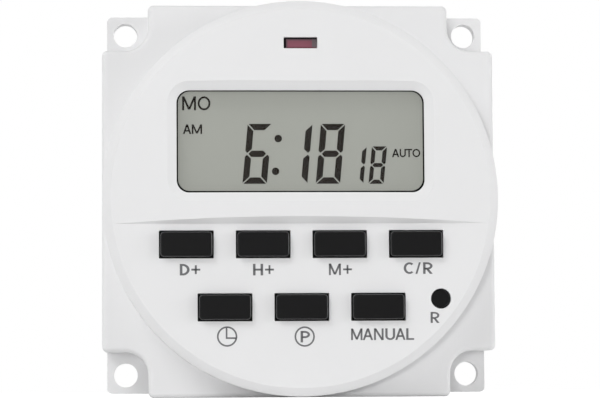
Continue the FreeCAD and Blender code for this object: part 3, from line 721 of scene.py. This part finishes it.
def letterStrokes(letter, width, height, stroke):
    # the strokes of one letter, each a path and two flags, closed on itself and cut level at its
    # ends; straight strokes join their points and round ones are parts of ellipses
    form = letterForms
    half = stroke / 2
    right, top, middle, centre = width - half, height - half, width / 2, height / 2
    run = {"A": middle, "M": middle, "N": width, "/": width,
           "R": width * form["legRun"]}.get(letter, 0.0)
    lean = half * math.hypot(1, run / height)        # half the level width of a slanted stroke
    waist, valley = height * form["waist"], height * form["valleyM"]
    bowlStart, curveD = width * form["bowlStart"], width * form["curveD"]
    barA, curveU = height * form["barA"], height * form["curveU"]
    inset = lean + (middle - lean) * barA / height
    reach = (width - half) / form["widthC"]

    def straight(*path):
        return path, False, False

    def slanted(*path):
        return path, False, True

    def curved(*parts, closed=False):
        return np.concatenate(parts), closed, False

    stem = straight((half, 0), (half, height))
    farStem = straight((right, 0), (right, height))
    bowl = curved([(half, top)], bow(bowlStart, (top + waist) / 2, right - bowlStart,
                                     (top - waist) / 2, 90, -90), [(half, waist)])
    return {
        "A": [slanted((lean, 0), (middle, height)), slanted((width - lean, 0), (middle, height)),
              straight((inset, barA), (width - inset, barA))],
        "C": [curved(bow(reach + half * form["shiftC"], centre, reach - half * form["narrowC"],
                         centre - half, *form["anglesC"]))],
        "D": [curved([(half, half)], bow(curveD, centre, right - curveD, centre - half, -90, 90),
                     [(half, top)], closed=True)],
        "H": [stem, farStem, straight((half, centre), (right, centre))],
        "L": [straight((half, height), (half, half), (width, half))],
        "M": [stem, farStem, slanted((lean, height), (middle, valley)),
              slanted((width - lean, height), (middle, valley))],
        "N": [stem, farStem, slanted((lean, height), (width - lean, 0))],
        "O": [curved(loop(middle, centre, middle - half, centre - half), closed=True)],
        "P": [stem, bowl],
        "R": [stem, bowl, slanted((width * form["legStart"], waist), (width - lean, 0))],
        "T": [straight((middle, 0), (middle, height)), straight((0, top), (width, top))],
        "U": [curved([(half, height)], bow(middle, curveU, middle - half, curveU - half, 180, 360),
                     [(right, height)])],
        "/": [slanted((lean, 0), (width - lean, height))],
        "+": [straight((0, centre), (width, centre)),
              straight((middle, centre - middle), (middle, centre + middle))],
    }[letter]


def lettering(name, letters, top, foot, stroke, front, back, material, spread=1.0):
    # each letter has its left and right edge; it is drawn narrower and then spread sideways, so
    # that upright strokes come out thicker than level ones, but less so where strokes slant
    bands = []
    for letter, left, right in letters:
        wide = letterForms["spread"].get(letter, spread)
        thick = stroke * letterForms["weight"].get(letter, 1.0)
        for path, closed, level in letterStrokes(letter, (right - left) / wide, top - foot, thick):
            points, faces = ribbon(path, thick, front, back, closed, level)
            bands.append((points * [wide, 1, 1] + [left, 0, foot], faces))
    makePiece(name, bands, material)


displayWords = {         # letters with their left and right edges, top, foot and stroke
    "word_day": ([("M", -17.85, -15.75), ("O", -15.49, -13.57)], 15.5, 13.38, 0.295),
    "word_half": ([("A", -17.75, -16.47), ("M", -16.40, -14.84)], 11.24, 9.78, 0.235),
    "word_mode": ([("A", 13.94, 15.07), ("U", 15.13, 16.06), ("T", 16.08, 17.04),
                   ("O", 17.07, 18.26)], 7.5, 6.24, 0.21),
}
for name, (letters, top, foot, stroke) in displayWords.items():
    lettering(name, letters, top, foot, stroke, inkFront, inkBack, displayInkFinish)

labelPrint = {
    "keyProud": 0.9,             # key fronts stand this far before the lower face
    "thickness": 0.02, "colour": (0.158, 0.158, 0.163), "roughness": 0.55,
    "spread": 1.3,               # upright strokes against level ones
}
facePlane = boxOf("day_key")[0][1] + labelPrint["keyProud"]
labelFinish = ink("label_ink", labelPrint)
labelFront = facePlane - labelPrint["thickness"]
faceLabels = {           # the same values as for the words
    "label_day": ([("D", -18.29, -16.83), ("+", -16.56, -15.23)], -9.98, -11.70, 0.3),
    "label_hour": ([("H", -7.32, -5.80), ("+", -5.51, -4.18)], -10.0, -11.73, 0.29),
    "label_minute": ([("M", 4.09, 5.90), ("+", 6.23, 7.56)], -10.0, -11.73, 0.28),
    "label_clear": ([("C", 15.38, 16.84), ("/", 17.14, 17.98), ("R", 18.31, 19.74)],
                    -9.84, -11.58, 0.285),
    "label_manual": ([("M", 7.36, 9.08), ("A", 9.11, 10.68), ("N", 10.81, 12.26),
                      ("U", 12.52, 14.0), ("A", 14.01, 15.57), ("L", 15.67, 16.86)],
                     -19.76, -21.50, 0.265),
    "label_reset": ([("R", 19.38, 20.70)], -17.32, -18.97, 0.25),
    "icon_program_letter": ([("P", -0.23, 1.19)], -20.09, -21.80, 0.28),
}
for name, (letters, top, foot, stroke) in faceLabels.items():
    lettering(name, letters, top, foot, stroke, labelFront, facePlane, labelFinish,
              labelPrint["spread"])

icons = {"radius": 1.52, "line": 0.245, "clock": (-11.24, -20.87), "program": (0.39, -20.93),
         "hand": (-11.32, -21.11)}           # the hands meet here
ringRadius = icons["radius"] - icons["line"] / 2
for name, (x, z) in (("icon_clock_ring", icons["clock"]), ("icon_program_ring", icons["program"])):
    ring = ribbon(loop(x, z, ringRadius, ringRadius), icons["line"], labelFront, facePlane,
                  closed=True)
    makePiece(name, [ring], labelFinish)
clockX, clockZ = icons["clock"]
handX, handZ = icons["hand"]
hands = ribbon([(handX, clockZ + ringRadius), (handX, handZ), (clockX + ringRadius, handZ)],
               icons["line"], labelFront, facePlane)
makePiece("icon_clock_hands", [hands], labelFinish)
print("lettering made")


# Floor, light and camera

studio = {                       # lengths in metres
    "worldLevel": 0.35,          # share of full light that comes from all round
    "lampDistance": 2.0,
    "lamps": {                   # direction, share of full light and side of the square lamp
        "key_light": ((-0.7, -0.7, 0.9), 0.39, 0.8),
        "fill_light": ((-0.22, -1.0, 0.0), 0.33, 0.35),
        "side_light": ((1.0, -0.3, 0.05), 0.44, 0.8),
        "back_light": ((0.5, 1.0, 0.2), 0.42, 1.6),
    },
    "floorSide": 4.0, "floorColour": (0.95, 0.95, 0.95),
    "floorLift": 0.46,           # brings the lit floor up to white for the camera and in mirrors
}

floorMesh = bpy.data.meshes.new("floor")
side = studio["floorSide"] / 2
under = cadBox[0][2]
floorMesh.from_pydata([(-side, -side, under), (side, -side, under), (side, side, under),
                       (-side, side, under)], [], [(0, 1, 2, 3)])
floor = bpy.data.objects.new("floor", floorMesh)
bpy.context.scene.collection.objects.link(floor)
paper = newRecipe("floor_paper")
matt = paper.add("ShaderNodeBsdfDiffuse", None, {"Color": (*studio["floorColour"], 1.0)})
lift = paper.add("ShaderNodeEmission", None,
                 {"Strength": paper.showThrough() * studio["floorLift"]})
floorMesh.materials.append(
    paper.finished(paper.add("ShaderNodeAddShader", None, {0: matt, 1: lift})))

world = bpy.data.worlds.new("studio")
bpy.context.scene.world = world
room = Recipe(world)
level = studio["worldLevel"] + room.showThrough() * (1.0 - studio["worldLevel"])
room.finished(room.add("ShaderNodeBackground", None, {"Color": white, "Strength": level}))

for name, (towards, share, size) in studio["lamps"].items():
    lamp = bpy.data.lights.new(name, "AREA")
    lamp.shape = "SQUARE"
    lamp.size = size
    # pi times the distance, squared, is full light: a white sheet that faces the lamp looks white
    lamp.energy = share * (math.pi * studio["lampDistance"]) ** 2
    holder = bpy.data.objects.new(name, lamp)
    bpy.context.scene.collection.objects.link(holder)
    aim = Vector(towards).normalized()
    holder.location = aim * studio["lampDistance"]
    holder.rotation_euler = aim.to_track_quat("Z", "Y").to_euler()

cameraView = {
    "azimuth": -3.364, "elevation": -4.181, "roll": -0.34,       # degrees
    "target": (0.200, -10.8, 0.089), "distance": 400.0,          # millimetres
    "lens": 156.83, "sensor": 36.0,                              # millimetres
    "nearest": 0.01, "farthest": 50.0,                           # metres
}
cameraData = bpy.data.cameras.new("camera")
cameraData.lens = cameraView["lens"]
cameraData.sensor_width = cameraView["sensor"]
cameraData.clip_start = cameraView["nearest"]
cameraData.clip_end = cameraView["farthest"]
camera = bpy.data.objects.new("camera", cameraData)
bpy.context.scene.collection.objects.link(camera)
azimuth, elevation, roll = (math.radians(cameraView[angle])
                            for angle in ("azimuth", "elevation", "roll"))
back = Vector((math.sin(azimuth) * math.cos(elevation), -math.cos(azimuth) * math.cos(elevation),
               math.sin(elevation)))
right = Vector((math.cos(azimuth), math.sin(azimuth), 0.0))
up = back.cross(right)
rightRolled = right * math.cos(roll) + up * math.sin(roll)
upRolled = back.cross(rightRolled)
turned = Matrix((rightRolled, upRolled, back)).transposed()
camera.matrix_world = Matrix.Translation(
    Vector(cameraView["target"]) * mm + back * cameraView["distance"] * mm) @ turned.to_4x4()
bpy.context.scene.camera = camera
bpy.context.scene.view_settings.view_transform = "Standard"
print("studio set")
